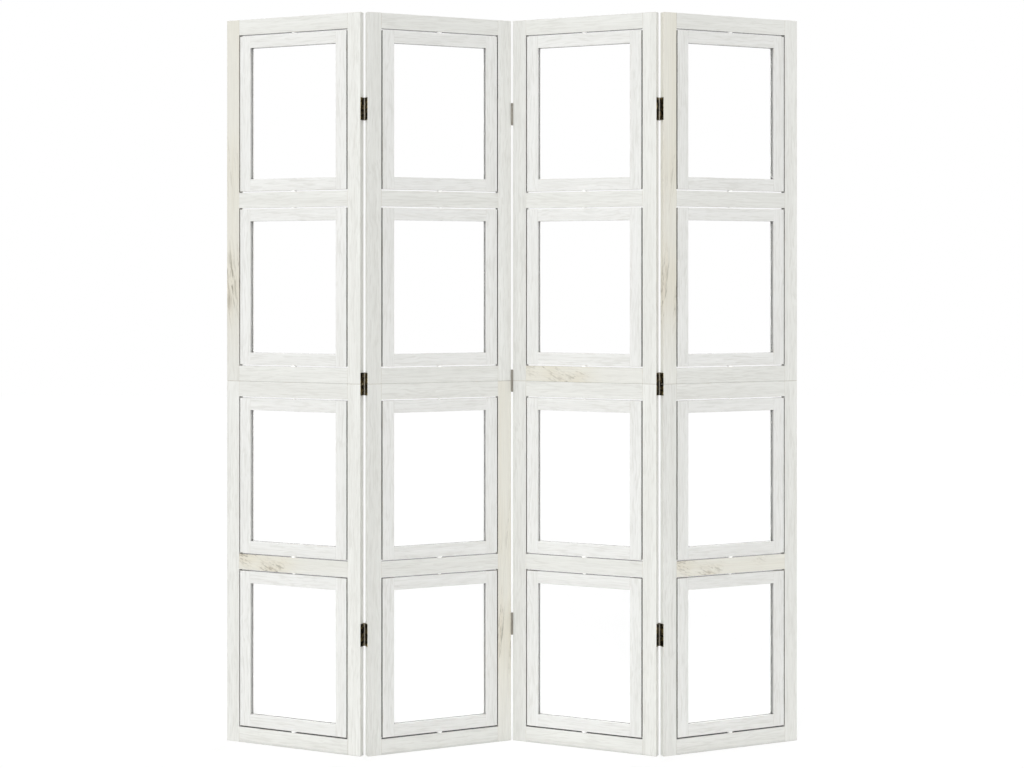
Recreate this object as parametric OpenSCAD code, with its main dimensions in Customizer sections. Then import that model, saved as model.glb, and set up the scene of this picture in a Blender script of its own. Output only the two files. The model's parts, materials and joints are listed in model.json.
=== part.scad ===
// Folding photo frame screen: four panels hinged in a zigzag. Each panel is two half-height
// frames, one on top of the other, and holds four photo frames that turn on upright pins.
// X runs along the screen, the front faces -Y, Z is up and the origin is on the floor, in the
// middle of the screen as it stands.

/* [Screen] */
// Height of the screen
screen_h = 1650; // [1300:10:2000]
// Width of one panel
panel_w = 347; // [300:1:420]
// Thickness of the panels and of the photo frames
wood_t = 15; // [14:0.5:22]
// Angle between each panel and the length of the screen as it stands
stand_angle = 23.7; // [10:0.1:40]

/* [Panel frames] */
// Width of the stiles
stile_w = 32.5; // [30:0.5:50]
// Height of the rails
rail_h = 35; // [32:0.5:50]
// Thickness of the tenons on the rails
tenon_t = 5; // [4:0.5:6]
// Length of the tenons
tenon_l = 18; // [10:1:18]
// Height of the rail above and below each tenon
tenon_shoulder = 5; // [4:0.5:8]
// Space left at the bottom of each mortise
mortise_play = 1; // [0.5:0.1:1.5]
// Diameter of the dowels between the two halves
dowel_d = 8; // [6:0.5:9]
// Length of the dowels
dowel_l = 50; // [30:1:56]
// Distance of the dowels from the middle of the panel
dowel_x = 90; // [40:1:110]
// Height of the joint line between the two halves
joint_line = 0.2; // [0.1:0.1:1]

/* [Photo frames] */
// Gap beside each photo frame
side_gap = 2.5; // [1.5:0.1:4]
// Gap above and below each photo frame
end_gap = 3; // [2:0.1:5]
// Width of the four members of a photo frame
member_w = 27.5; // [24:0.5:40]
// Depth of the groove around the inside of a photo frame
groove_d = 8; // [6:0.5:9]
// Thickness of each clear sheet
sheet_t = 1.5; // [1:0.1:2]
// Space for the photograph between the two sheets
photo_space = 0.5; // [0.3:0.1:1]
// Play between the edges of the sheets and the bottom of the groove
sheet_play = 0.9; // [0.4:0.1:0.9]
// Thickness of the glue between the members of a photo frame
glue_line = 0.1; // [0.05:0.05:0.2]

/* [Pivots] */
// Diameter of the pivot pins
pivot_d = 5; // [4:0.5:6]
// Length of a pivot pin inside the rail
pivot_seat = 14; // [8:0.5:14]
// Length of a pivot pin inside the photo frame
pivot_reach = 13; // [8:0.5:13]
// Diameter of the collar that carries the photo frame, and of the flange above the frame
collar_d = 12; // [9:0.5:14]
// Thickness of the flange under the rail above the photo frame
flange_h = 1; // [0.5:0.1:1.5]

/* [Hinges] */
// Height of each hinge
hinge_h = 50; // [40:1:70]
// Height of the middle of the lowest hinge above the floor
hinge_low = 268; // [120:1:330]
// Distance of the middle of the highest hinge from the top
hinge_top = 214; // [120:1:330]
// Thickness of the leaves
leaf_t = 1.1; // [0.9:0.1:1.5]
// Space between the two leaves when the panels are in line
leaf_play = 0.4; // [0.3:0.1:0.8]
// Distance of a leaf from the face of the panel opposite its barrel
leaf_inset = 0.6; // [0.5:0.1:2]
// Diameter of the barrel
barrel_d = 4.6; // [4.4:0.1:6]
// Diameter of the hinge pin
hinge_pin_d = 2.6; // [2:0.1:2.8]
// Number of knuckles in a barrel
knuckles = 5; // [3:2:7]
// Clearance of the barrel from the corners of the stiles
corner_clear = 0.25; // [0.2:0.05:0.6]
// Diameter of the screw shanks
screw_d = 3; // [2.5:0.1:3.4]
// Diameter of the screw heads
screw_head_d = 5.4; // [4.8:0.1:6.4]
// Length of the screws
screw_l = 12; // [8:0.5:12]
// Distance between the three screw holes of a leaf
screw_pitch = 17; // [14:0.5:18]

/* [Fits] */
// Radial clearance of a pin or a knuckle that turns
turn_fit = 0.08; // [0.03:0.01:0.1]
// Radial clearance of a pin, a dowel or a screw that is fixed
fixed_fit = 0.03; // [0.01:0.01:0.05]
// End clearance of bores and knuckles
end_fit = 0.3; // [0.2:0.1:0.6]

/* [Hidden] */
$fn = 48;

panel_count = 4;
fold_count = panel_count - 1;
frame_count = 4;
PANELS = [for (p = [1:panel_count]) p];
FOLDS = [for (f = [1:fold_count]) f];
SLOTS = [for (s = [1:frame_count]) s];
HALVES = [0, 1];
SIDES = [-1, 1];

white_wash = "#e4e3de";
pale_dowel = "#cdb48c";
collar_white = "#ecebe6";
aged_bronze = "#3b332c";
clear_sheet = [0.85, 0.9, 0.92, 0.35];

cut_over = 1;

// Heights: each half has three rails, and a photo frame in each of its two openings
half_h = (screen_h - joint_line) / 2;
rail_step = (half_h - rail_h) / 2;
frame_h = rail_step - rail_h - 2 * end_gap;
frame_w = panel_w - 2 * stile_w - 2 * side_gap;
rail_l = panel_w - 2 * stile_w;
groove_w = 2 * sheet_t + photo_space;

function half_z(half) = half * (half_h + joint_line);
function rail_z(half, rail) = half_z(half) + rail * rail_step;

// Slot 1 is the highest photo frame and slot 4 the lowest
function slot_half(slot) = slot <= frame_count / 2 ? 1 : 0;
function slot_rail(slot) = (frame_count - slot) % 2;
function slot_z(slot) = rail_z(slot_half(slot), slot_rail(slot)) + rail_h + end_gap;

// Hinges: the axis lies in the middle of the gap between two panels, just outside the faces
// that meet when the screen is folded, so that the barrel clears the corners of both stiles
hinge_gap = 2 * leaf_t + leaf_play;
barrel_r = barrel_d / 2;
knuckle_bore_r = hinge_pin_d / 2 + turn_fit;
axis_proud = sqrt(pow(barrel_r + corner_clear, 2) - pow(hinge_gap / 2, 2));
axis_along = panel_w / 2 + hinge_gap / 2;
axis_out = wood_t / 2 + axis_proud;
knuckle_h = hinge_h / knuckles;
pin_head_d = hinge_pin_d + 1.2;
pin_head_h = 0.6;
HINGE_MIDDLES = [hinge_low, screen_h / 2, screen_h - hinge_top];
LEFT_KNUCKLES = [for (k = [0:2:knuckles - 1]) k];
RIGHT_KNUCKLES = [for (k = [1:2:knuckles - 1]) k];

// A screw is left out where it would land on the joint between the two halves
joint_margin = 2 * screw_d;
function hinge_holes(middle) = [for (s = [-1, 0, 1]) middle + s * screw_pitch];
function hinge_screws(middle) = [for (z = hinge_holes(middle)) if (abs(z - screen_h / 2) > joint_margin) z];
SCREW_HEIGHTS = [for (middle = HINGE_MIDDLES) for (z = hinge_screws(middle)) z];
screw_tip_h = screw_d / 2;
slot_w = 0.8;
slot_d = 0.6;

// Odd folds point to the front and have their barrels at the back, even folds the reverse
function barrel_side(fold) = fold % 2 == 1 ? 1 : -1;
function panel_angle(panel) = panel % 2 == 1 ? -stand_angle : stand_angle;
panel_pitch = 2 * (axis_along * cos(stand_angle) + axis_out * sin(stand_angle));
function panel_x(panel) = (panel - (panel_count + 1) / 2) * panel_pitch;

// ---- Places

module on_panel(panel) {
    translate([panel_x(panel), 0, 0]) rotate([0, 0, panel_angle(panel)]) children();
}

// The edge of a panel at a fold, with +X out of the edge and +Y towards the barrel
module on_edge(side, barrel) {
    translate([side * panel_w / 2, 0, 0])
        mirror([side < 0 ? 1 : 0, 0, 0])
            mirror([0, barrel < 0 ? 1 : 0, 0])
                children();
}

// The folds of a panel, as [side, fold]
function edge_folds(panel) = [
    if (panel > 1) [-1, panel - 1],
    if (panel < panel_count) [1, panel]
];

module at_slot(slot) {
    translate([0, 0, slot_z(slot)]) children();
}

// ---- Panel frames

module mortise(side, z) {
    depth = tenon_l + mortise_play;
    inner_x = panel_w / 2 - stile_w;
    x = side > 0 ? inner_x - cut_over : -inner_x - depth;
    translate([x, -tenon_t / 2, z + tenon_shoulder])
        cube([depth + cut_over, tenon_t, rail_h - 2 * tenon_shoulder]);
}

module stile(side, half) {
    difference() {
        translate([side > 0 ? panel_w / 2 - stile_w : -panel_w / 2, -wood_t / 2, half_z(half)])
            cube([stile_w, wood_t, half_h]);
        for (rail = [0:2]) mortise(side, rail_z(half, rail));
    }
}

module screw_bore(side, z) {
    depth = screw_l - leaf_t + end_fit;
    translate([side * (panel_w / 2 - depth), 0, z])
        rotate([0, side * 90, 0])
            cylinder(r = screw_d / 2 + fixed_fit, h = depth + cut_over);
}

module panel_stiles(panel) {
    color(white_wash) on_panel(panel)
        for (half = HALVES) for (side = SIDES)
            difference() {
                stile(side, half);
                for (e = edge_folds(panel)) if (e[0] == side)
                    for (z = SCREW_HEIGHTS) if (z > half_z(half) && z < half_z(half) + half_h)
                        screw_bore(side, z);
            }
}

module pivot_bore(depth, r) {
    translate([0, 0, -depth]) cylinder(r = r, h = depth + cut_over);
}

module rail(pin_below, pin_above, dowels_below, dowels_above) {
    pin_depth = pivot_seat + end_fit;
    pin_r = pivot_d / 2 + fixed_fit;
    dowel_depth = dowel_l / 2 + end_fit;
    dowel_r = dowel_d / 2 + fixed_fit;
    difference() {
        union() {
            translate([-rail_l / 2, -wood_t / 2, 0]) cube([rail_l, wood_t, rail_h]);
            translate([-rail_l / 2 - tenon_l, -tenon_t / 2, tenon_shoulder])
                cube([rail_l + 2 * tenon_l, tenon_t, rail_h - 2 * tenon_shoulder]);
        }
        if (pin_above) translate([0, 0, rail_h]) pivot_bore(pin_depth, pin_r);
        if (pin_below) mirror([0, 0, 1]) pivot_bore(pin_depth, pin_r);
        for (side = SIDES) translate([side * dowel_x, 0, 0]) {
            if (dowels_above) translate([0, 0, rail_h]) pivot_bore(dowel_depth, dowel_r);
            if (dowels_below) mirror([0, 0, 1]) pivot_bore(dowel_depth, dowel_r);
        }
    }
}

module panel_rails(panel) {
    color(white_wash) on_panel(panel)
        for (half = HALVES) for (i = [0:2])
            translate([0, 0, rail_z(half, i)])
                rail(i > 0, i < 2, half == 1 && i == 0, half == 0 && i == 2);
}

module panel_dowels(panel) {
    color(pale_dowel) on_panel(panel)
        for (side = SIDES)
            translate([side * dowel_x, 0, (screen_h - dowel_l) / 2])
                cylinder(d = dowel_d, h = dowel_l);
}

// ---- Pivots

module lower_pin() {
    translate([0, 0, -end_gap]) {
        translate([0, 0, -pivot_seat]) cylinder(d = pivot_d, h = pivot_seat + end_gap + pivot_reach);
        cylinder(d = collar_d, h = end_gap);
    }
}

module upper_pin() {
    translate([0, 0, frame_h - pivot_reach])
        cylinder(d = pivot_d, h = pivot_reach + end_gap + pivot_seat);
    translate([0, 0, frame_h + end_gap - flange_h]) cylinder(d = collar_d, h = flange_h);
}

module panel_pivot_pins(panel) {
    color(collar_white) on_panel(panel)
        for (slot = SLOTS) at_slot(slot) {
            lower_pin();
            upper_pin();
        }
}

// ---- Photo frames

module frame_stile(side) {
    x = side > 0 ? frame_w / 2 - member_w : -frame_w / 2;
    groove_x = side > 0 ? x - cut_over : x + member_w - groove_d;
    difference() {
        translate([x, -wood_t / 2, 0]) cube([member_w, wood_t, frame_h]);
        translate([groove_x, -groove_w / 2, -cut_over])
            cube([groove_d + cut_over, groove_w, frame_h + 2 * cut_over]);
    }
}

// A rail of a photo frame, with its outer edge at z = 0 and its groove towards +Z
module frame_rail() {
    length = frame_w - 2 * member_w - 2 * glue_line;
    tongue_l = length + 2 * groove_d;
    tongue_t = groove_w - 2 * glue_line;
    tongue_h = member_w - groove_d;
    difference() {
        union() {
            translate([-length / 2, -wood_t / 2, 0]) cube([length, wood_t, member_w]);
            translate([-tongue_l / 2, -tongue_t / 2, 0]) cube([tongue_l, tongue_t, tongue_h]);
        }
        translate([-length / 2 - cut_over, -groove_w / 2, tongue_h])
            cube([length + 2 * cut_over, groove_w, groove_d + cut_over]);
        mirror([0, 0, 1]) pivot_bore(pivot_reach + end_fit, pivot_d / 2 + turn_fit);
    }
}

module photo_frame(panel, slot) {
    color(white_wash) on_panel(panel) at_slot(slot) {
        for (side = SIDES) frame_stile(side);
        frame_rail();
        translate([0, 0, frame_h]) mirror([0, 0, 1]) frame_rail();
    }
}

module clear_sheets(panel, slot) {
    into = groove_d - sheet_play;
    sheet_w = frame_w - 2 * member_w + 2 * into;
    sheet_h = frame_h - 2 * member_w + 2 * into;
    color(clear_sheet) on_panel(panel) at_slot(slot)
        for (side = SIDES)
            translate([-sheet_w / 2, side > 0 ? photo_space / 2 : -groove_w / 2, member_w - into])
                cube([sheet_w, sheet_t, sheet_h]);
}

// ---- Hinges, drawn on an edge with +X out of it and +Y towards the barrel

module leaf_plate_outline() {
    plate_end = axis_out - (barrel_r + knuckle_bore_r) / 2;
    translate([0, leaf_inset - wood_t / 2]) square([leaf_t, plate_end + wood_t / 2 - leaf_inset]);
}

module at_axis() {
    translate([hinge_gap / 2, axis_out]) children();
}

module leaf(own_knuckles) {
    linear_extrude(hinge_h) difference() {
        leaf_plate_outline();
        at_axis() circle(r = barrel_r + end_fit);
    }
    for (k = own_knuckles)
        translate([0, 0, k * knuckle_h + end_fit / 2])
            linear_extrude(knuckle_h - end_fit) difference() {
                union() {
                    leaf_plate_outline();
                    at_axis() circle(r = barrel_r);
                }
                at_axis() circle(r = knuckle_bore_r);
            }
}

module countersink(clear) {
    rotate([0, 90, 0]) {
        translate([0, 0, -cut_over]) cylinder(r = screw_d / 2 + clear, h = leaf_t + 2 * cut_over);
        cylinder(r1 = screw_d / 2 + clear, r2 = screw_head_d / 2 + clear, h = leaf_t);
    }
}

module hinge_leaf(middle, own_knuckles) {
    difference() {
        translate([0, 0, middle - hinge_h / 2]) leaf(own_knuckles);
        for (z = hinge_holes(middle)) translate([0, 0, z]) countersink(fixed_fit);
    }
}

module panel_hinge_leaves(panel) {
    color(aged_bronze) on_panel(panel)
        for (e = edge_folds(panel)) on_edge(e[0], barrel_side(e[1]))
            for (middle = HINGE_MIDDLES)
                hinge_leaf(middle, e[0] > 0 ? LEFT_KNUCKLES : RIGHT_KNUCKLES);
}

// A countersunk screw with a straight slot: its head fills the leaf and its tip is a cone
module hinge_screw() {
    shank_l = screw_l - leaf_t - screw_tip_h;
    rotate([0, 90, 0]) difference() {
        union() {
            translate([0, 0, -shank_l]) cylinder(d = screw_d, h = shank_l);
            cylinder(d1 = screw_d, d2 = screw_head_d, h = leaf_t);
            translate([0, 0, -shank_l - screw_tip_h]) cylinder(d1 = 0, d2 = screw_d, h = screw_tip_h);
        }
        translate([-screw_head_d, -slot_w / 2, leaf_t - slot_d])
            cube([2 * screw_head_d, slot_w, slot_d + cut_over]);
    }
}

module panel_hinge_screws(panel) {
    color(aged_bronze) on_panel(panel)
        for (e = edge_folds(panel)) on_edge(e[0], barrel_side(e[1]))
            for (z = SCREW_HEIGHTS) translate([0, 0, z]) hinge_screw();
}

// The pins stay in the leaves of the panel to the left of the fold, held by their heads
module hinge_pin(middle) {
    translate([hinge_gap / 2, axis_out, middle - hinge_h / 2]) {
        cylinder(d = hinge_pin_d, h = hinge_h);
        translate([0, 0, -pin_head_h + end_fit / 2]) cylinder(d = pin_head_d, h = pin_head_h);
        translate([0, 0, hinge_h - end_fit / 2]) cylinder(d = pin_head_d, h = pin_head_h);
    }
}

module fold_hinge_pins(fold) {
    color(aged_bronze) on_panel(fold)
        on_edge(1, barrel_side(fold)) for (middle = HINGE_MIDDLES) hinge_pin(middle);
}

// ---- Sub-parts

for (p = PANELS) {
    panel_stiles(p);
    panel_rails(p);
    panel_dowels(p);
    panel_pivot_pins(p);
    panel_hinge_leaves(p);
    panel_hinge_screws(p);
}
for (f = FOLDS) {
    fold_hinge_pins(f);
}
for (p = PANELS) for (s = SLOTS) {
    photo_frame(p, s);
    clear_sheets(p, s);
}
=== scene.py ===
"""Folding photo frame screen: four zigzag panels of white-washed wood with turning photo frames.

Every wooden member is built from its solid in the frame, with eased and worn arrises and its own
grain. The metal, the pins and the clear sheets keep their solids and get their materials here.
"""
import json
import math
import random
from typing import NamedTuple

import bmesh
import bpy
from mathutils import Matrix, Vector, noise

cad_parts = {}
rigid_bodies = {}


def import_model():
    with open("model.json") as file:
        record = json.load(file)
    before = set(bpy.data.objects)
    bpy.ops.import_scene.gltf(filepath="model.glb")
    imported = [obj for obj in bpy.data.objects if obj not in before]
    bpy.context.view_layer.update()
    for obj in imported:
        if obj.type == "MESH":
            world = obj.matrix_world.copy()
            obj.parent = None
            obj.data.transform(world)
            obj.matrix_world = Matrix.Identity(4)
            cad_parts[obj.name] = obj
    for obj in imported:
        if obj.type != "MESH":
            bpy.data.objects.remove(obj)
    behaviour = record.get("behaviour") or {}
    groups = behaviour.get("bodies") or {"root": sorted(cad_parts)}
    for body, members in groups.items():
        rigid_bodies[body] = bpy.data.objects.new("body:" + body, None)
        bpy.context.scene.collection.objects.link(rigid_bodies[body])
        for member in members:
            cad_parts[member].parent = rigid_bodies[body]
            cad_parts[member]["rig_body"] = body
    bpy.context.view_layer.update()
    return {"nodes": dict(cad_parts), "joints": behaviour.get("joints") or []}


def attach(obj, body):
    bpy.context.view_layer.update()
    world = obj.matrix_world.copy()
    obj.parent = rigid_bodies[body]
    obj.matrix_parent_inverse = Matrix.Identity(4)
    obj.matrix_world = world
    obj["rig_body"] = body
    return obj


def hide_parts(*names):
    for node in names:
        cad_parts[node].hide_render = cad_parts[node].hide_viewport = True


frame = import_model()
NODES = frame["nodes"]

# ---- Sizes, in metres, as in the part's source

PANELS = (1, 2, 3, 4)
SLOTS = (1, 2, 3, 4)
STAND_ANGLE = math.radians(23.7)
SCREEN_H = 1.65
PANEL_W = 0.347
STILE_W = 0.0325
RAIL_H = 0.035
MEMBER_W = 0.0275
SIDE_GAP = 0.0025
GLUE_LINE = 0.0001
JOINT_LINE = 0.0002
BARREL_R = 0.0023

HALF_H = (SCREEN_H - JOINT_LINE) / 2
HALF_STEP = HALF_H + JOINT_LINE
RAIL_L = PANEL_W - 2 * STILE_W
RAIL_STEP = (HALF_H - RAIL_H) / 2
WINDOW_HALF_W = RAIL_L / 2 - SIDE_GAP - MEMBER_W


def put_in_scene(name, data):
    made = bpy.data.objects.new(name, data)
    bpy.context.scene.collection.objects.link(made)
    return made


# ---- Camera: level, in front of the middle of the screen

CAMERA_PLACE = (0.0, -3.9767, 1.0555)
CAMERA_LENS = 61.9
CAMERA_SHIFT = -0.1014


def add_camera():
    data = bpy.data.cameras.new("camera")
    data.sensor_width = 36.0
    data.lens = CAMERA_LENS
    data.shift_y = CAMERA_SHIFT
    data.clip_end = 100.0
    camera = put_in_scene("camera", data)
    camera.location = CAMERA_PLACE
    camera.rotation_euler = (math.radians(90), 0.0, 0.0)
    bpy.context.scene.camera = camera


add_camera()


# ---- Shader helpers

def add_node(tree, kind, inputs=None, **settings):
    """A new node. `inputs` gives a value, or the socket of another node, for its inputs."""
    made = tree.nodes.new(kind)
    for name, value in settings.items():
        setattr(made, name, value)
    for name, value in (inputs or {}).items():
        if isinstance(value, bpy.types.NodeSocket):
            tree.links.new(value, made.inputs[name])
        else:
            made.inputs[name].default_value = value
    return made


def maths(tree, operation, *values, clamp=False):
    made = add_node(tree, "ShaderNodeMath", dict(enumerate(values)), operation=operation)
    made.use_clamp = clamp
    return made.outputs[0]


def plus(tree, a, b):
    return maths(tree, "ADD", a, b)


def minus(tree, a, b):
    return maths(tree, "SUBTRACT", a, b)


def times(tree, a, b, clamp=False):
    return maths(tree, "MULTIPLY", a, b, clamp=clamp)


def vector_maths(tree, operation, *values):
    made = add_node(tree, "ShaderNodeVectorMath", dict(enumerate(values)), operation=operation)
    return made.outputs["Vector"]


def measured(tree, operation, *values):
    """A number from vectors, such as a length or a distance."""
    made = add_node(tree, "ShaderNodeVectorMath", dict(enumerate(values)), operation=operation)
    return made.outputs["Value"]


def ranged(tree, value, low, high, out_low=0.0, out_high=1.0, smooth=True):
    made = add_node(
        tree, "ShaderNodeMapRange",
        {"Value": value, "From Min": low, "From Max": high, "To Min": out_low, "To Max": out_high},
        interpolation_type="SMOOTHSTEP" if smooth else "LINEAR",
    )
    return made.outputs["Result"]


def noise_at(tree, place, cells, detail=2.0, roughness=0.5):
    """Noise from 0 to 1. `cells` is how many of its cells a metre holds, along each axis."""
    scaled = vector_maths(tree, "MULTIPLY", place, cells)
    made = add_node(
        tree, "ShaderNodeTexNoise",
        {"Vector": scaled, "Scale": 1.0, "Detail": detail, "Roughness": roughness},
    )
    return made.outputs["Fac"]


def mixed(tree, factor, a, b, blend="MIX"):
    made = add_node(tree, "ShaderNodeMix", data_type="RGBA", blend_type=blend, clamp_factor=True)
    for socket, value in ((made.inputs[0], factor), (made.inputs[6], a), (made.inputs[7], b)):
        if isinstance(value, bpy.types.NodeSocket):
            tree.links.new(value, socket)
        else:
            socket.default_value = value
    return made.outputs[2]


def multiplied(tree, colour, value):
    return mixed(tree, 1.0, colour, value, "MULTIPLY")


def shaders_mixed(tree, factor, a, b):
    return add_node(tree, "ShaderNodeMixShader", {0: factor, 1: a, 2: b}).outputs[0]


def use_bump(tree, shader, height, strength, distance):
    bump = add_node(tree, "ShaderNodeBump", {"Strength": strength, "Distance": distance, "Height": height})
    tree.links.new(bump.outputs["Normal"], shader.inputs["Normal"])


def use_surface(tree, surface):
    tree.links.new(surface, tree.nodes["Material Output"].inputs["Surface"])


def new_material(name):
    material = bpy.data.materials.new(name)
    material.use_nodes = True
    tree = material.node_tree
    shader = tree.nodes["Principled BSDF"]
    return material, tree, shader


def rgb(red, green, blue):
    return (red, green, blue, 1.0)


WHITE = rgb(1.0, 1.0, 1.0)


# ---- White-washed wood. Attributes say where a point lies in its member and how its board looks:
# wood_place is along, across and through the grain from the member's middle, in metres
# wood_size is half the member's size, the same three ways
# wood_share is the share of cream, the share of dark heart lines, and a random number for the member
# wood_look is how light the point is beside the other members, with painted light by panel and
# painted shade on a side in a window, the slant of the heart lines, and how fast painted shade
# darkens the side deep in the gaps

WASH_ON_PANELS = rgb(0.855, 0.86, 0.825), rgb(0.809, 0.812, 0.774)
WASH_ON_FRAMES = rgb(0.88, 0.883, 0.862), rgb(0.84, 0.843, 0.817)
PORE_GREY = rgb(0.56, 0.54, 0.49)
FLECK_GREY = rgb(0.62, 0.615, 0.57)
CREAM_LIGHT, CREAM_DEEP = rgb(0.81, 0.795, 0.715), rgb(0.77, 0.735, 0.625)
HEART_BROWN = rgb(0.2, 0.18, 0.125)
HEART_TAN = rgb(0.74, 0.64, 0.5)
WARM_BROWN = rgb(0.55, 0.44, 0.31)
END_LIGHT, END_DARK, END_WASH = rgb(0.7, 0.67, 0.59), rgb(0.61, 0.56, 0.46), rgb(0.74, 0.725, 0.67)

# Noise cells in a metre along, across and through the grain
SWAY_CELLS, STROKE_CELLS = (3.2, 22.0, 22.0), (9.0, 14.0, 14.0)
FIGURE_CELLS, FINE_CELLS, FLECK_CELLS = (1.6, 60.0, 60.0), (11.0, 620.0, 620.0), (20.0, 240.0, 240.0)
PORE_CELLS, PATCH_CELLS, CLOUD_CELLS = (26.0, 1300.0, 1300.0), (7.0, 26.0, 26.0), (4.0, 9.0, 9.0)
WOBBLE_CELLS, WAVE_CELLS = (16.0, 45.0, 45.0), (2.5, 360.0, 60.0)
DASH_CELLS, BAND_CELLS = (28.0, 240.0, 240.0), (5.0, 70.0, 40.0)
RUBBED_CELLS = (34.0, 90.0, 90.0)

PATTERN_REACH = (37.0, 11.0, 5.0)       # the stretch of the pattern that holds all members' own parts
GRAIN_SWAY, STROKE_SWAY = 0.012, 0.02   # how far the lines of the grain wander
HEART_WOBBLE = 0.008                    # how far the heart lines do
USUAL_SLANT = 0.1                       # at this slant they are as long as their noise cells say
HEART_PLACE = (0.0, 0.012, 0.03)        # from the middle of the growth rings to a member's middle
RINGS = 3300.0                          # radians of the ring pattern in a metre
CREVICE = 0.012                         # painted shade: other wood that is nearer than this darkens a side in a gap


def attribute_parts(tree, name):
    vector = add_node(tree, "ShaderNodeAttribute", attribute_name=name).outputs["Vector"]
    return vector, add_node(tree, "ShaderNodeSeparateXYZ", {0: vector}).outputs


def own_part_of_pattern(tree, place, chance):
    """Each member reads its own part of the pattern."""
    offset = add_node(tree, "ShaderNodeVectorMath", {0: PATTERN_REACH, "Scale": chance}, operation="SCALE")
    return vector_maths(tree, "ADD", place, offset.outputs["Vector"])


def swaying(tree, own, cells, reach):
    """The lines of the grain wander across and through the member, in a band as wide as `reach`."""
    drift = times(tree, minus(tree, noise_at(tree, own, cells), 0.5), reach)
    shift = add_node(tree, "ShaderNodeCombineXYZ", {0: 0.0, 1: drift, 2: drift}).outputs[0]
    return vector_maths(tree, "ADD", own, shift)


def with_pores(tree, colour, pore_mask):
    return mixed(tree, times(tree, pore_mask, 0.3), colour, PORE_GREY)


def with_flecks(tree, colour, grain, cloud):
    """Short grey strokes, slightly aslant, where the wash is thin."""
    strokes = swaying(tree, grain, STROKE_CELLS, STROKE_SWAY)
    flecks = noise_at(tree, strokes, FLECK_CELLS, roughness=0.6)
    mask = times(tree, ranged(tree, flecks, 0.47, 0.66), ranged(tree, cloud, 0.3, 0.6, 0.5, 1.0))
    return mixed(tree, times(tree, mask, 0.35), colour, FLECK_GREY)


def with_cream(tree, colour, cream, heart, figure, fine, cloud):
    """Cream boards: a thin wash over yellower wood, deeper in colour near the heart."""
    deep = plus(tree, times(tree, figure, 0.7), times(tree, heart, 0.35))
    tone = mixed(tree, ranged(tree, deep, 0.25, 0.75), CREAM_LIGHT, CREAM_DEEP)
    tone = multiplied(tree, tone, ranged(tree, fine, 0.3, 0.7, 1.03, 0.955))
    coverage = times(tree, cream, ranged(tree, cloud, 0.3, 0.6, 0.8, 1.0))
    return mixed(tree, coverage, colour, tone)


def with_heart_lines(tree, colour, own, place, slant, heart):
    """Growth lines that cut across the board at a slant and break up into dashes. The steeper
    they are, the shorter they are."""
    along, across, through = add_node(tree, "ShaderNodeSeparateXYZ", {0: place}).outputs
    wobble = minus(tree, noise_at(tree, own, WOBBLE_CELLS, detail=3.0, roughness=0.6), 0.5)
    shift = maths(tree, "MULTIPLY_ADD", along, slant, times(tree, wobble, HEART_WOBBLE))
    squeeze = maths(tree, "DIVIDE", maths(tree, "ABSOLUTE", slant), USUAL_SLANT)
    slanted = add_node(
        tree, "ShaderNodeCombineXYZ",
        {0: times(tree, along, squeeze), 1: plus(tree, across, shift), 2: through},
    ).outputs[0]
    waves = noise_at(tree, slanted, WAVE_CELLS, detail=4.0, roughness=0.75)
    dashes = noise_at(tree, slanted, DASH_CELLS, detail=4.0, roughness=0.65)
    bands = noise_at(tree, slanted, BAND_CELLS, detail=1.0)
    lines = times(tree, ranged(tree, waves, 0.44, 0.56), ranged(tree, dashes, 0.44, 0.58))
    lines = times(tree, lines, ranged(tree, bands, 0.4, 0.54))
    lines = times(tree, lines, heart, clamp=True)
    tan = times(tree, ranged(tree, bands, 0.55, 0.7), heart, clamp=True)
    colour = mixed(tree, times(tree, tan, 0.25), colour, HEART_TAN)
    return mixed(tree, times(tree, lines, 0.85), colour, HEART_BROWN)


def inset(tree, half, where):
    """How far a point lies inside the member's surface, along one axis."""
    return minus(tree, half, maths(tree, "ABSOLUTE", where))


def with_rubbed_arrises(tree, colour, own, size, place):
    """Brown wood shows along the arrises, where the wash is rubbed through."""
    _, half_across, half_through = size
    _, across, through = place
    to_arris = maths(tree, "MAXIMUM", inset(tree, half_across, across), inset(tree, half_through, through))
    rubbed = noise_at(tree, own, RUBBED_CELLS, detail=3.0, roughness=0.6)
    mask = times(tree, ranged(tree, to_arris, 0.0002, 0.0011, 1.0, 0.0), ranged(tree, rubbed, 0.5, 0.7))
    return mixed(tree, times(tree, mask, 0.4), colour, WARM_BROWN)


def end_grain(tree, place, fine):
    """Growth rings, partly filled with wash."""
    from_heart = vector_maths(tree, "ADD", place, HEART_PLACE)
    radius = measured(tree, "LENGTH", vector_maths(tree, "MULTIPLY", from_heart, (0.0, 1.0, 1.0)))
    rings = maths(tree, "SINE", times(tree, radius, RINGS))
    tone = mixed(tree, ranged(tree, rings, -1.0, 1.0), END_LIGHT, END_DARK)
    return mixed(tree, ranged(tree, fine, 0.4, 0.62, 0.0, 0.7), tone, END_WASH)


def painted_gap_shade(tree, gap_shade):
    """Painted shade: 1 in the open, and towards 0 deep in the gaps, from the wood's ambient occlusion."""
    occlusion = add_node(tree, "ShaderNodeAmbientOcclusion", {"Distance": CREVICE}, samples=4)
    openness = ranged(tree, occlusion.outputs["AO"], 0.05, 0.65)
    return maths(tree, "POWER", openness, gap_shade)


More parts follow.
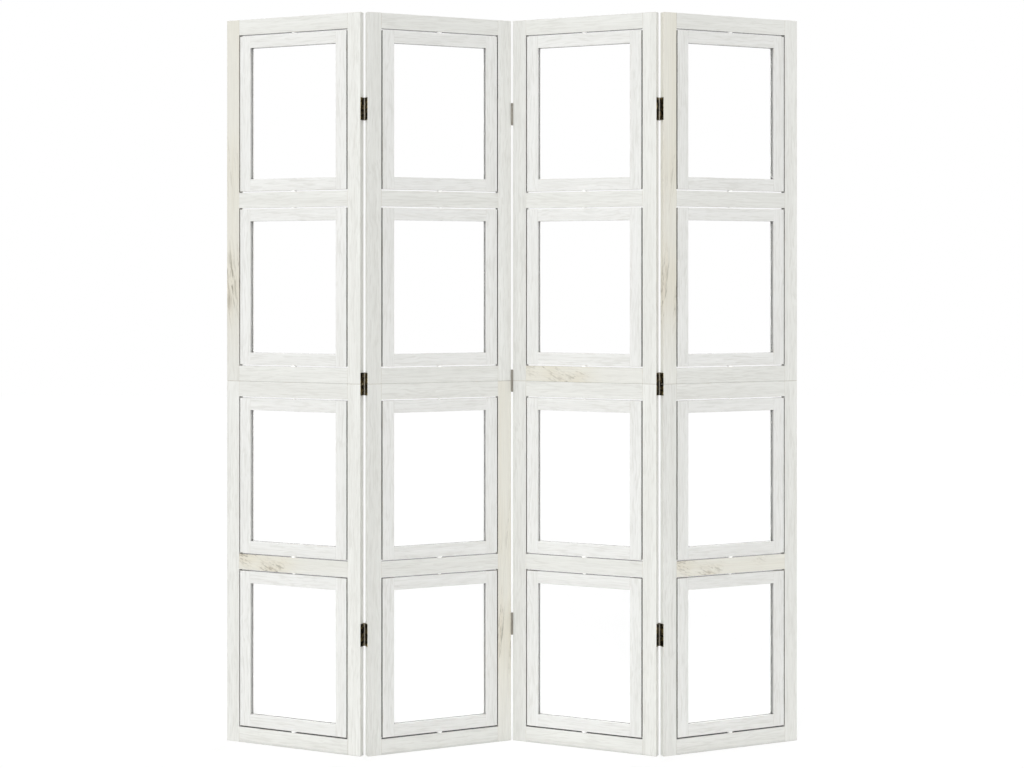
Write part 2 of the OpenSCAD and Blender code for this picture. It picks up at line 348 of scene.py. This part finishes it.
def white_washed_wood(name, light, shade):
    material, tree, shader = new_material(name)
    place, place_parts = attribute_parts(tree, "wood_place")
    _, size_parts = attribute_parts(tree, "wood_size")
    _, (cream, heart, chance) = attribute_parts(tree, "wood_share")
    _, (tone, slant, gap_shade) = attribute_parts(tree, "wood_look")
    own = own_part_of_pattern(tree, place, chance)
    grain = swaying(tree, own, SWAY_CELLS, GRAIN_SWAY)
    figure = noise_at(tree, grain, FIGURE_CELLS, detail=3.0, roughness=0.55)
    fine = noise_at(tree, grain, FINE_CELLS, roughness=0.6)
    cloud = noise_at(tree, own, CLOUD_CELLS)
    pores = noise_at(tree, grain, PORE_CELLS, detail=1.0)
    patches = noise_at(tree, own, PATCH_CELLS)
    pore_mask = times(tree, ranged(tree, pores, 0.56, 0.68), ranged(tree, patches, 0.36, 0.62))
    end = ranged(tree, inset(tree, size_parts[0], place_parts[0]), 0.0003, 0.0006, 1.0, 0.0)
    gap_shade_factor = painted_gap_shade(tree, gap_shade)

    colour = mixed(tree, ranged(tree, figure, 0.34, 0.66), light, shade)
    colour = multiplied(tree, colour, ranged(tree, fine, 0.3, 0.7, 1.02, 0.965))
    colour = with_pores(tree, colour, pore_mask)
    colour = with_flecks(tree, colour, grain, cloud)
    colour = multiplied(tree, colour, ranged(tree, cloud, 0.3, 0.7, 0.99, 1.005))
    colour = with_cream(tree, colour, cream, heart, figure, fine, cloud)
    colour = with_heart_lines(tree, colour, own, place, slant, heart)
    colour = multiplied(tree, colour, tone)
    colour = with_rubbed_arrises(tree, colour, own, size_parts, place_parts)
    colour = mixed(tree, end, colour, end_grain(tree, place, fine))
    # Painted shade deep in the gaps
    colour = multiplied(tree, colour, gap_shade_factor)
    tree.links.new(colour, shader.inputs["Base Color"])

    rough = plus(tree, ranged(tree, fine, 0.3, 0.7, 0.3, 0.4), times(tree, pore_mask, 0.15))
    rough = plus(tree, rough, times(tree, end, 0.12))
    rough = plus(tree, rough, ranged(tree, gap_shade_factor, 0.0, 0.1, 0.5, 0.0, smooth=False))
    tree.links.new(rough, shader.inputs["Roughness"])
    height = plus(tree, times(tree, fine, 0.6), times(tree, figure, 0.35))
    height = minus(tree, height, times(tree, pore_mask, 0.5))
    use_bump(tree, shader, height, 0.35, 0.00025)
    shader.inputs["Coat Weight"].default_value = 1.0
    shader.inputs["Coat Roughness"].default_value = 0.05
    shader.inputs["Coat IOR"].default_value = 1.1
    return material


PANEL_WOOD = white_washed_wood("white_washed_panel_wood", *WASH_ON_PANELS)
FRAME_WOOD = white_washed_wood("white_washed_frame_wood", *WASH_ON_FRAMES)


# ---- Other materials

BRONZE_DARK, BRONZE_LIGHT = rgb(0.011, 0.008, 0.003), rgb(0.37, 0.295, 0.135)
BRASS = rgb(0.46, 0.375, 0.175)
KNUCKLE_GREY = rgb(0.305, 0.288, 0.25)
KNUCKLE_INNER, KNUCKLE_OUTER = BARREL_R + 0.0003, BARREL_R + 0.0006
NYLON_LIGHT, NYLON_SHADE, NYLON_GLOW = rgb(0.95, 0.95, 0.935), rgb(0.91, 0.905, 0.885), rgb(1.0, 1.0, 0.98)
BARE_LIGHT, BARE_DARK = rgb(0.62, 0.46, 0.28), rgb(0.5, 0.35, 0.19)


def object_place(tree):
    return add_node(tree, "ShaderNodeTexCoord").outputs["Object"]


def near_fold_axes(tree, place):
    """1 on the hinge knuckles, which lie close round the axes of the folds, and 0 on the leaves."""
    flat = vector_maths(tree, "MULTIPLY", place, (1.0, 1.0, 0.0))
    nearest = None
    for joint in frame["joints"]:
        if joint["name"].startswith("fold_"):
            x, y, _ = joint["pos_m"]
            away = measured(tree, "DISTANCE", flat, (x, y, 0.0))
            nearest = away if nearest is None else maths(tree, "MINIMUM", nearest, away)
    return ranged(tree, nearest, KNUCKLE_INNER, KNUCKLE_OUTER, 1.0, 0.0)


def aged_bronze():
    """Black-brown metal with brassy specks, rubbed to a lighter grey on the knuckles."""
    material, tree, shader = new_material("aged_bronze")
    place = object_place(tree)
    blotches = noise_at(tree, place, (130.0, 130.0, 110.0), detail=4.0, roughness=0.8)
    specks = noise_at(tree, place, (700.0, 700.0, 500.0), detail=3.0, roughness=0.65)
    brushed = noise_at(tree, place, (900.0, 900.0, 90.0))
    colour = mixed(tree, ranged(tree, blotches, 0.49, 0.59), BRONZE_DARK, BRONZE_LIGHT)
    worn = times(tree, ranged(tree, specks, 0.5, 0.62), ranged(tree, blotches, 0.48, 0.6))
    colour = mixed(tree, times(tree, worn, 0.8), colour, BRASS)
    rubbed = times(tree, near_fold_axes(tree, place), ranged(tree, blotches, 0.25, 0.5, 0.45, 1.0))
    colour = mixed(tree, rubbed, colour, KNUCKLE_GREY)
    tree.links.new(colour, shader.inputs["Base Color"])
    tree.links.new(ranged(tree, brushed, 0.3, 0.7, 0.3, 0.5), shader.inputs["Roughness"])
    use_bump(tree, shader, specks, 0.3, 0.0001)
    shader.inputs["Metallic"].default_value = 0.9
    return material


def white_nylon():
    """Milky plastic. Light that spreads inside it is stood in for by a faint glow."""
    material, tree, shader = new_material("white_nylon")
    place = object_place(tree)
    mottle = noise_at(tree, place, (400.0, 400.0, 400.0))
    scuffs = noise_at(tree, place, (1600.0, 1600.0, 200.0), detail=1.0)
    colour = mixed(tree, ranged(tree, mottle, 0.35, 0.65), NYLON_LIGHT, NYLON_SHADE)
    tree.links.new(colour, shader.inputs["Base Color"])
    tree.links.new(ranged(tree, scuffs, 0.35, 0.65, 0.38, 0.52), shader.inputs["Roughness"])
    use_bump(tree, shader, scuffs, 0.2, 0.00005)
    shader.inputs["Emission Color"].default_value = NYLON_GLOW
    shader.inputs["Emission Strength"].default_value = 0.45
    return material


def bare_wood():
    material, tree, shader = new_material("bare_wood")
    fibres = noise_at(tree, object_place(tree), (900.0, 900.0, 30.0))
    colour = mixed(tree, ranged(tree, fibres, 0.3, 0.7), BARE_LIGHT, BARE_DARK)
    tree.links.new(colour, shader.inputs["Base Color"])
    tree.links.new(ranged(tree, fibres, 0.3, 0.7, 0.55, 0.7), shader.inputs["Roughness"])
    use_bump(tree, shader, fibres, 0.3, 0.0001)
    return material


def clear_acrylic():
    """A thin clear sheet: what is behind it, with a faint gloss on the side that is met first,
    which grows at a slant. The side that is left lets light straight on, so that many sheets
    behind each other stay clear."""
    material, tree, shader = new_material("clear_acrylic")
    tree.nodes.remove(shader)
    haze = noise_at(tree, object_place(tree), (7.0, 7.0, 5.0), detail=3.0, roughness=0.6)
    smooth = ranged(tree, haze, 0.3, 0.7, 0.02, 0.06)
    gloss = add_node(tree, "ShaderNodeBsdfGlossy", {"Color": WHITE, "Roughness": smooth}).outputs[0]
    clear = add_node(tree, "ShaderNodeBsdfTransparent", {"Color": WHITE}).outputs[0]
    straight_on = add_node(
        tree, "ShaderNodeBsdfRefraction", {"Color": WHITE, "Roughness": 0.0, "IOR": 1.0}
    ).outputs[0]
    fresnel = add_node(tree, "ShaderNodeFresnel", {"IOR": 1.3}).outputs[0]
    shadow = add_node(tree, "ShaderNodeLightPath").outputs["Is Shadow Ray"]
    leaving = add_node(tree, "ShaderNodeNewGeometry").outputs["Backfacing"]
    met_first = shaders_mixed(tree, fresnel, clear, gloss)
    left_last = shaders_mixed(tree, shadow, straight_on, clear)
    use_surface(tree, shaders_mixed(tree, leaving, met_first, left_last))
    return material


def dress_hardware():
    bronze = aged_bronze()
    by_word = {
        "hinge_leaves": bronze,
        "hinge_screws": bronze,
        "hinge_pins": bronze,
        "pivot_pins": white_nylon(),
        "dowels": bare_wood(),
        "clear_sheets": clear_acrylic(),
    }
    for name, node in NODES.items():
        for word, material in by_word.items():
            if word in name:
                for slot in node.material_slots:
                    slot.link = "OBJECT"
                    slot.material = material


dress_hardware()


# ---- How the boards look

class Board(NamedTuple):
    """How a member's board looks. Places are shares of its length, from its lower or left end."""
    cream: float = 0.0      # how yellow it is where it is yellowest
    full: float = 0.0       # it has all of its cream from here on, away from `white`
    white: float = -1.0     # it is nearly white from here on, away from `full`
    hearts: tuple = ()      # where its dark lines gather, as (place, strength)
    slant: float = 0.0      # how far these lines run across, for each metre along
    tone: float = 1.0       # how light it is beside the other members
    lean: float = 0.0       # how far along the places of its dark lines move from edge to edge

    def cream_at(self, along):
        fade = min(1.0, max(0.0, (along - self.white) / (self.full - self.white)))
        return self.cream * (LEAST_CREAM + (1 - LEAST_CREAM) * fade)

    def heart_at(self, along, across):
        leaning = along + self.lean * across
        return sum(strength * math.exp(-((leaning - where) / HEART_REACH) ** 2)
                   for where, strength in self.hearts)


LEAST_CREAM = 0.25      # the share of its cream that a board keeps where it is nearly white
HEART_REACH = 0.085     # how far along dark lines gather, as a share of the board's length
# Painted light and shade: how light each panel is made, as the light falls on it
PANEL_PAINTED_LIGHT = {1: 1.0, 2: 0.995, 3: 0.98, 4: 1.025}
PLAIN = Board()
RIGHT_STILE = Board(tone=1.025)
STILE_BOARDS = {  # by panel, half and side
    (1, 1, -1): Board(
        cream=1.0, full=0.22, white=0.02, hearts=((0.27, 1.0), (0.59, 0.5)), slant=0.1, tone=0.95,
    ),
    (2, 0, 1): Board(
        cream=0.95, full=0.2, white=0.0, hearts=((0.3, 1.0), (0.59, 0.45)), slant=-0.1, tone=1.02,
    ),
    (4, 1, -1): Board(
        cream=0.95, full=0.22, white=0.02, hearts=((0.26, 1.0), (0.57, 0.5)), slant=-0.1, tone=1.02,
    ),
    (3, 0, -1): Board(tone=0.955),
    (3, 1, -1): Board(tone=0.96),
}
RAIL_BOARDS = {  # by panel, half and row
    (1, 0, 1): Board(
        cream=0.95, full=0.46, white=0.62, hearts=((0.1, 0.8), (0.24, 1.0)),
        slant=0.4, tone=0.99, lean=0.22,
    ),
    (3, 1, 0): Board(
        cream=0.95, full=0.5, white=0.7, hearts=((0.16, 0.6), (0.34, 1.0)),
        slant=0.4, tone=0.985, lean=0.22,
    ),
    (4, 0, 1): Board(
        cream=0.9, full=1.1, white=1.2, hearts=((0.04, 0.6), (0.19, 0.9), (0.88, 0.3)),
        slant=0.4, tone=1.03, lean=0.22,
    ),
}


class Sides(NamedTuple):
    """How a member's sides look. A shade is how fast painted shade darkens a side deep in the gaps."""
    shade: float                # of the side at the gap, or of both
    gap_side: int = 0           # the side at the gap, where only one is
    far_shade: float = 0.0      # of the other side
    window_half: float = 0.0    # half of the window's length along the member
    window_painted_shade: float = 1.0    # painted shade: how light the other side is in the window

    def is_far(self, out_side):
        return out_side * self.gap_side < 0


# Painted shade deep in the gaps and on the sides in a window, for each kind of member
STILE_SIDES = {-1: Sides(shade=0.0), 1: Sides(shade=0.2)}  # painted shade in the gaps, by the side of the panel
RAIL_SIDES = Sides(shade=0.8)
OUTER_RAIL_SIDES = {  # of the lowest and the highest rail, by half and row
    (0, 0): Sides(shade=14.0, gap_side=1, far_shade=0.2),
    (1, 2): Sides(shade=14.0, gap_side=-1, far_shade=0.2),
}
# Painted shade on the sides in a window: how light they are, left and right, and below and above
WINDOW_STILE_PAINTED_SHADE = {-1: 0.8, 1: 0.62}
WINDOW_RAIL_PAINTED_SHADE = {-1: 0.93, 1: 0.65}


def frame_stile_sides(side, window_half):
    return Sides(
        shade=12.0, gap_side=side, far_shade=0.3,
        window_half=window_half, window_painted_shade=WINDOW_STILE_PAINTED_SHADE[side],
    )


def frame_rail_sides(side):
    return Sides(
        shade=0.4, gap_side=side, far_shade=0.4,
        window_half=WINDOW_HALF_W, window_painted_shade=WINDOW_RAIL_PAINTED_SHADE[side],
    )


# ---- Wooden members, built from their solids

ARRIS = 0.0005                      # how far the arrises are eased
EASED = 1.15 * ARRIS                # vertices nearer than this to two surfaces belong to an arris
UNWORN_END = 1.5 * ARRIS            # so near to a member's end its arrises don't wear
ARRIS_ANGLE = math.radians(60)      # edges that turn by more than this can be arrises
STATION = 0.03                      # distance of the cuts along a member
NEAR_END = 0.001                    # so near to a stile's end no cut is added
FLAT = 1e-5                         # what is closer than this to a plane lies on it
MERGE = 1e-6                        # vertices that are closer than this are one
COPLANAR = math.radians(0.5)        # faces that differ by less than this are one
WEAR = 0.55                         # how much an arris's size varies through wear, as a share of it
LEAST_SIZE, MOST_SIZE = 0.3, 1.3    # the limits of its size, as shares of ARRIS
WEAR_CELLS = (38.0, 17.0, 5.3)      # noise cells for a metre, from one member to another, and a corner
PANEL_FLUSH, FRAME_FLUSH = 0.3, 0.04  # what is left of an arris where it is sanded flush
FADE = 0.003                        # length over which a window's arris reaches its full size
HIDDEN_END = WINDOW_HALF_W + 0.002  # half a photo frame's rail: its ends are hidden, without end grain


def islands(bm):
    """The closed solids of a mesh, each as a mesh of its own."""
    left = set(bm.verts)
    groups = []
    while left:
        start = min(left, key=lambda v: v.index)
        group, ahead = {start}, [start]
        while ahead:
            for edge in ahead.pop().link_edges:
                for v in edge.verts:
                    if v not in group:
                        group.add(v)
                        ahead.append(v)
        left -= group
        groups.append(sorted(v.index for v in group))
    made = []
    for group in groups:
        keep = set(group)
        part = bm.copy()
        bmesh.ops.delete(part, geom=[v for v in part.verts if v.index not in keep], context="VERTS")
        made.append(part)
    return made


class Member:
    """One wooden member in its panel's own place: X along the panel, Y through it, Z up."""

    def __init__(self, bm, upright, half_length=None):
        self.bm = bm
        self.upright = upright
        low = Vector([min(v.co[i] for v in bm.verts) for i in range(3)])
        high = Vector([max(v.co[i] for v in bm.verts) for i in range(3)])
        self.middle = (low + high) / 2
        self.half = (high - low) / 2
        if half_length:
            self.half.x = half_length
        self.grain_axis = 2 if upright else 0
        self.side_axis = 0 if upright else 2

    def offset(self, co, axis):
        return co[axis] - self.middle[axis]

    def is_outermost(self, co, axis):
        return abs(abs(self.offset(co, axis)) - self.half[axis]) < FLAT

    def close_glue_lines(self):
        """The wash fills the thin glue lines at the ends of a photo frame's rail."""
        for v in self.bm.verts:
            if abs(abs(v.co.x) - (WINDOW_HALF_W - GLUE_LINE)) < FLAT:
                v.co.x = math.copysign(WINDOW_HALF_W, v.co.x)

    def cut_stations(self, extra=()):
        axis = self.grain_axis
        length = 2 * self.half[axis]
        count = max(2, round(length / STATION))
        cuts = [self.middle[axis] - self.half[axis] + length * i / count for i in range(1, count)]
        normal = Vector((0, 0, 1)) if self.upright else Vector((1, 0, 0))
        for where in sorted(cuts + list(extra)):
            point = self.middle.copy()
            point[axis] = where
            bmesh.ops.bisect_plane(
                self.bm, geom=self.bm.verts[:] + self.bm.edges[:] + self.bm.faces[:],
                dist=MERGE, plane_co=point, plane_no=normal,
            )

    def is_arris(self, edge):
        if len(edge.link_faces) != 2 or edge.calc_face_angle(0.0) < ARRIS_ANGLE:
            return False
        a, b = (v.co for v in edge.verts)
        way = b - a
        main = max(range(3), key=lambda i: abs(way[i]))
        on_face = all(self.is_outermost(co, 1) for co in (a, b))
        on_side = all(self.is_outermost(co, self.side_axis) for co in (a, b))
        at_end = all(self.is_outermost(co, self.grain_axis) for co in (a, b))
        if main == self.grain_axis:
            return on_face and on_side
        if not self.upright:
            return False
        return at_end and (on_face or (main == 1 and on_side))

    def ease(self, tightness=lambda along, side: 1.0, seed=0.0):
        """Rounds the arrises, with a radius that wears unevenly along them."""
        edges = [e for e in self.bm.edges if self.is_arris(e)]
        made = bmesh.ops.bevel(
            self.bm, geom=edges, offset=ARRIS, offset_type="OFFSET", segments=2, profile=0.5,
            affect="EDGES", clamp_overlap=True,
        )
        for face in self.bm.faces:
            face.smooth = False
        for face in made["faces"]:
            face.smooth = True
        axis, side = self.grain_axis, self.side_axis
        for v in self.bm.verts:
            along = self.offset(v.co, axis)
            if self.half[axis] - abs(along) < UNWORN_END:
                continue
            out_side, out_face = self.offset(v.co, side), self.offset(v.co, 1)
            in_side, in_face = self.half[side] - abs(out_side), self.half.y - abs(out_face)
            if not (in_side < EASED and in_face < EASED):
                continue
            corner = (1 if out_side > 0 else 0) + (2 if out_face > 0 else 0)
            where = [cells * value for cells, value in zip(WEAR_CELLS, (along, seed, corner))]
            worn = min(MOST_SIZE, max(LEAST_SIZE, 1.0 + WEAR * noise.noise(Vector(where))))
            scale = worn * tightness(v.co[axis], out_side)
            v.co[side] = self.middle[side] + math.copysign(self.half[side] - in_side * scale, out_side)
            v.co[1] = self.middle[1] + math.copysign(self.half.y - in_face * scale, out_face)

    def write_grain(self, board, sides, panel, chance):
        """Writes the attributes that the wood's material reads."""
        names = ("wood_place", "wood_size", "wood_share", "wood_look")
        place, size, share, look = (self.bm.verts.layers.float_vector.new(name) for name in names)
        order = (self.grain_axis, self.side_axis, 1)
        half = Vector([self.half[i] for i in order])
        for v in self.bm.verts:
            at = Vector([self.offset(v.co, i) for i in order])
            along, across = 0.5 + at.x / (2 * half.x), at.y / (2 * half.y)
            far = sides.is_far(at.y)
            # The board's own tone, with painted light by panel
            tone = board.tone * PANEL_PAINTED_LIGHT[panel]
            # Painted shade on the far side in a window
            if far and half.y - abs(at.y) < FLAT and abs(at.x) < sides.window_half + FLAT:
                tone *= sides.window_painted_shade
            v[place] = at
            v[size] = half
            v[share] = Vector((board.cream_at(along), board.heart_at(along, across), chance))
            v[look] = Vector((tone, board.slant, sides.far_shade if far else sides.shade))


def panel_place(panel):
    turn = next(j for j in frame["joints"] if j["name"] == f"frame_{panel}_1_turn")
    angle = -STAND_ANGLE if panel % 2 else STAND_ANGLE
    return Matrix.Translation((turn["pos_m"][0], 0, 0)) @ Matrix.Rotation(angle, 4, "Z")


def clean_solids(node, place):
    """A node's solids in their panel's own place, with one face for each flat surface."""
    bm = bmesh.new()
    bm.from_mesh(NODES[node].data)
    bm.transform(place.inverted())
    bmesh.ops.remove_doubles(bm, verts=bm.verts, dist=MERGE)
    bmesh.ops.dissolve_limit(bm, angle_limit=COPLANAR, verts=bm.verts, edges=bm.edges)
    bm.verts.index_update()
    parts = islands(bm)
    bm.free()
    return parts


def finish_piece(node, members, place, material):
    """Joins the members into one piece that stands for the node."""
    whole = bmesh.new()
    for member in members:
        mesh = bpy.data.meshes.new("part")
        member.bm.to_mesh(mesh)
        whole.from_mesh(mesh)
        member.bm.free()
        bpy.data.meshes.remove(mesh)
    whole.transform(place)
    mesh = bpy.data.meshes.new(f"wood_{node}")
    whole.to_mesh(mesh)
    whole.free()
    mesh.materials.append(material)
    piece = put_in_scene(f"wood_{node}", mesh)
    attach(piece, NODES[node]["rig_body"])
    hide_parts(node)


chances = random.Random(23)     # gives one number for each member, in the order they are built
RAIL_ZONES = [                  # from the lower to the upper edge of each rail
    (half * HALF_STEP + row * RAIL_STEP, half * HALF_STEP + row * RAIL_STEP + RAIL_H)
    for half in (0, 1) for row in (0, 1, 2)
]


def flush_in(zones, side, flush):
    """The inner arris of a stile on this side is sanded nearly flush where rails meet it."""
    def tightness(along, out_side):
        in_zone = any(low - FLAT <= along <= high + FLAT for low, high in zones)
        return flush if in_zone and out_side * side < 0 else 1.0
    return tightness


def half_of(member):
    return 1 if member.middle.z > SCREEN_H / 2 else 0


def build_stiles(panel, place):
    node = f"panel_{panel}_stiles"
    members = []
    for bm in clean_solids(node, place):
        member = Member(bm, upright=True)
        side = 1 if member.middle.x > 0 else -1
        bottom, top = member.middle.z - member.half.z, member.middle.z + member.half.z
        edges_of_rails = [z for zone in RAIL_ZONES for z in zone]
        member.cut_stations([z for z in edges_of_rails if bottom + NEAR_END < z < top - NEAR_END])
        chance = chances.random()
        member.ease(flush_in(RAIL_ZONES, side, PANEL_FLUSH), chance)
        usual = RIGHT_STILE if side > 0 else PLAIN
        board = STILE_BOARDS.get((panel, half_of(member), side), usual)
        member.write_grain(board, STILE_SIDES[side], panel, chance)
        members.append(member)
    finish_piece(node, members, place, PANEL_WOOD)


def build_rails(panel, place):
    node = f"panel_{panel}_rails"
    members = []
    for bm in clean_solids(node, place):
        member = Member(bm, upright=False, half_length=RAIL_L / 2)
        half = half_of(member)
        row = round((member.middle.z - RAIL_H / 2 - half * HALF_STEP) / RAIL_STEP)
        member.cut_stations()
        chance = chances.random()
        member.ease(seed=chance)
        board = RAIL_BOARDS.get((panel, half, row), PLAIN)
        member.write_grain(board, OUTER_RAIL_SIDES.get((half, row), RAIL_SIDES), panel, chance)
        members.append(member)
    finish_piece(node, members, place, PANEL_WOOD)


def build_photo_frame(panel, slot, place):
    node = f"photo_frame_{panel}_{slot}"
    members = []
    parts = clean_solids(node, place)
    bottom = min(v.co.z for bm in parts for v in bm.verts)
    top = max(v.co.z for bm in parts for v in bm.verts)
    low, high = bottom + MEMBER_W, top - MEMBER_W
    for bm in parts:
        heights = [v.co.z for v in bm.verts]
        upright = max(heights) - min(heights) > 2 * MEMBER_W
        member = Member(bm, upright, None if upright else HIDDEN_END)
        chance = chances.random()
        if upright:
            side = 1 if member.middle.x > 0 else -1
            member.cut_stations((low, low + FADE, high - FADE, high))
            member.ease(flush_in([(bottom, low), (high, top)], side, FRAME_FLUSH), chance)
            sides = frame_stile_sides(side, member.half.z - MEMBER_W)
        else:
            side = 1 if member.middle.z > (bottom + top) / 2 else -1
            member.close_glue_lines()
            member.cut_stations()
            member.ease(seed=chance)
            sides = frame_rail_sides(side)
        member.write_grain(PLAIN, sides, panel, chance)
        members.append(member)
    finish_piece(node, members, place, FRAME_WOOD)


for panel in PANELS:
    place = panel_place(panel)
    build_stiles(panel, place)
    build_rails(panel, place)
    for slot in SLOTS:
        build_photo_frame(panel, slot, place)


# ---- Floor, lights and background

FLOOR_HALF = 12.0
FLOOR_LIGHT, FLOOR_SHADE = rgb(0.6, 0.6, 0.595), rgb(0.4, 0.4, 0.4)
FLOOR_GLOW = 0.66           # with its own shade this makes the floor that is seen just white
WORLD_LIGHT, WORLD_SEEN = 0.51, 1.0


def seen_directly(tree):
    """1 for what the camera sees, also in gloss and through clear pieces, and 0 for light."""
    path = add_node(tree, "ShaderNodeLightPath")
    seen = maths(tree, "MAXIMUM", path.outputs["Is Camera Ray"], path.outputs["Is Glossy Ray"])
    return maths(tree, "MAXIMUM", seen, path.outputs["Is Transmission Ray"])


def pale_floor():
    """White where it is seen, darker where the object shades it, and grey in the light it gives."""
    material, tree, shader = new_material("pale_floor")
    tree.nodes.remove(shader)
    light = add_node(tree, "ShaderNodeBsdfDiffuse", {"Color": FLOOR_LIGHT}).outputs[0]
    shade = add_node(tree, "ShaderNodeBsdfDiffuse", {"Color": FLOOR_SHADE}).outputs[0]
    white = add_node(tree, "ShaderNodeEmission", {"Color": WHITE, "Strength": FLOOR_GLOW}).outputs[0]
    seen = add_node(tree, "ShaderNodeAddShader", {0: shade, 1: white}).outputs[0]
    use_surface(tree, shaders_mixed(tree, seen_directly(tree), light, seen))
    return material


def add_floor():
    mesh = bpy.data.meshes.new("floor")
    corners = [(x * FLOOR_HALF, y * FLOOR_HALF, 0.0) for x, y in ((-1, -1), (1, -1), (1, 1), (-1, 1))]
    mesh.from_pydata(corners, [], [(0, 1, 2, 3)])
    mesh.materials.append(pale_floor())
    floor = put_in_scene("floor", mesh)


def add_world():
    world = bpy.data.worlds.new("studio")
    world.use_nodes = True
    bpy.context.scene.world = world
    tree = world.node_tree
    background = tree.nodes["Background"]
    background.inputs["Color"].default_value = WHITE
    strength = ranged(tree, seen_directly(tree), 0.0, 1.0, WORLD_LIGHT, WORLD_SEEN, smooth=False)
    tree.links.new(strength, background.inputs["Strength"])


def soft_sun(name, towards, strength, spread):
    """A broad light that comes from the direction `towards`."""
    data = bpy.data.lights.new(name, "SUN")
    data.energy = strength
    data.angle = math.radians(spread)
    lamp = put_in_scene(name, data)
    lamp.rotation_euler = Vector(towards).to_track_quat("Z", "Y").to_euler()


add_floor()
add_world()
soft_sun("key_light", towards=(-0.15, -0.883, 0.45), strength=1.525, spread=30)
soft_sun("side_light", towards=(-0.92, -0.33, 0.2), strength=0.3, spread=15)
soft_sun("back_light", towards=(0.35, 0.8, 0.5), strength=0.85, spread=40)

bpy.context.scene.view_settings.view_transform = "Standard"
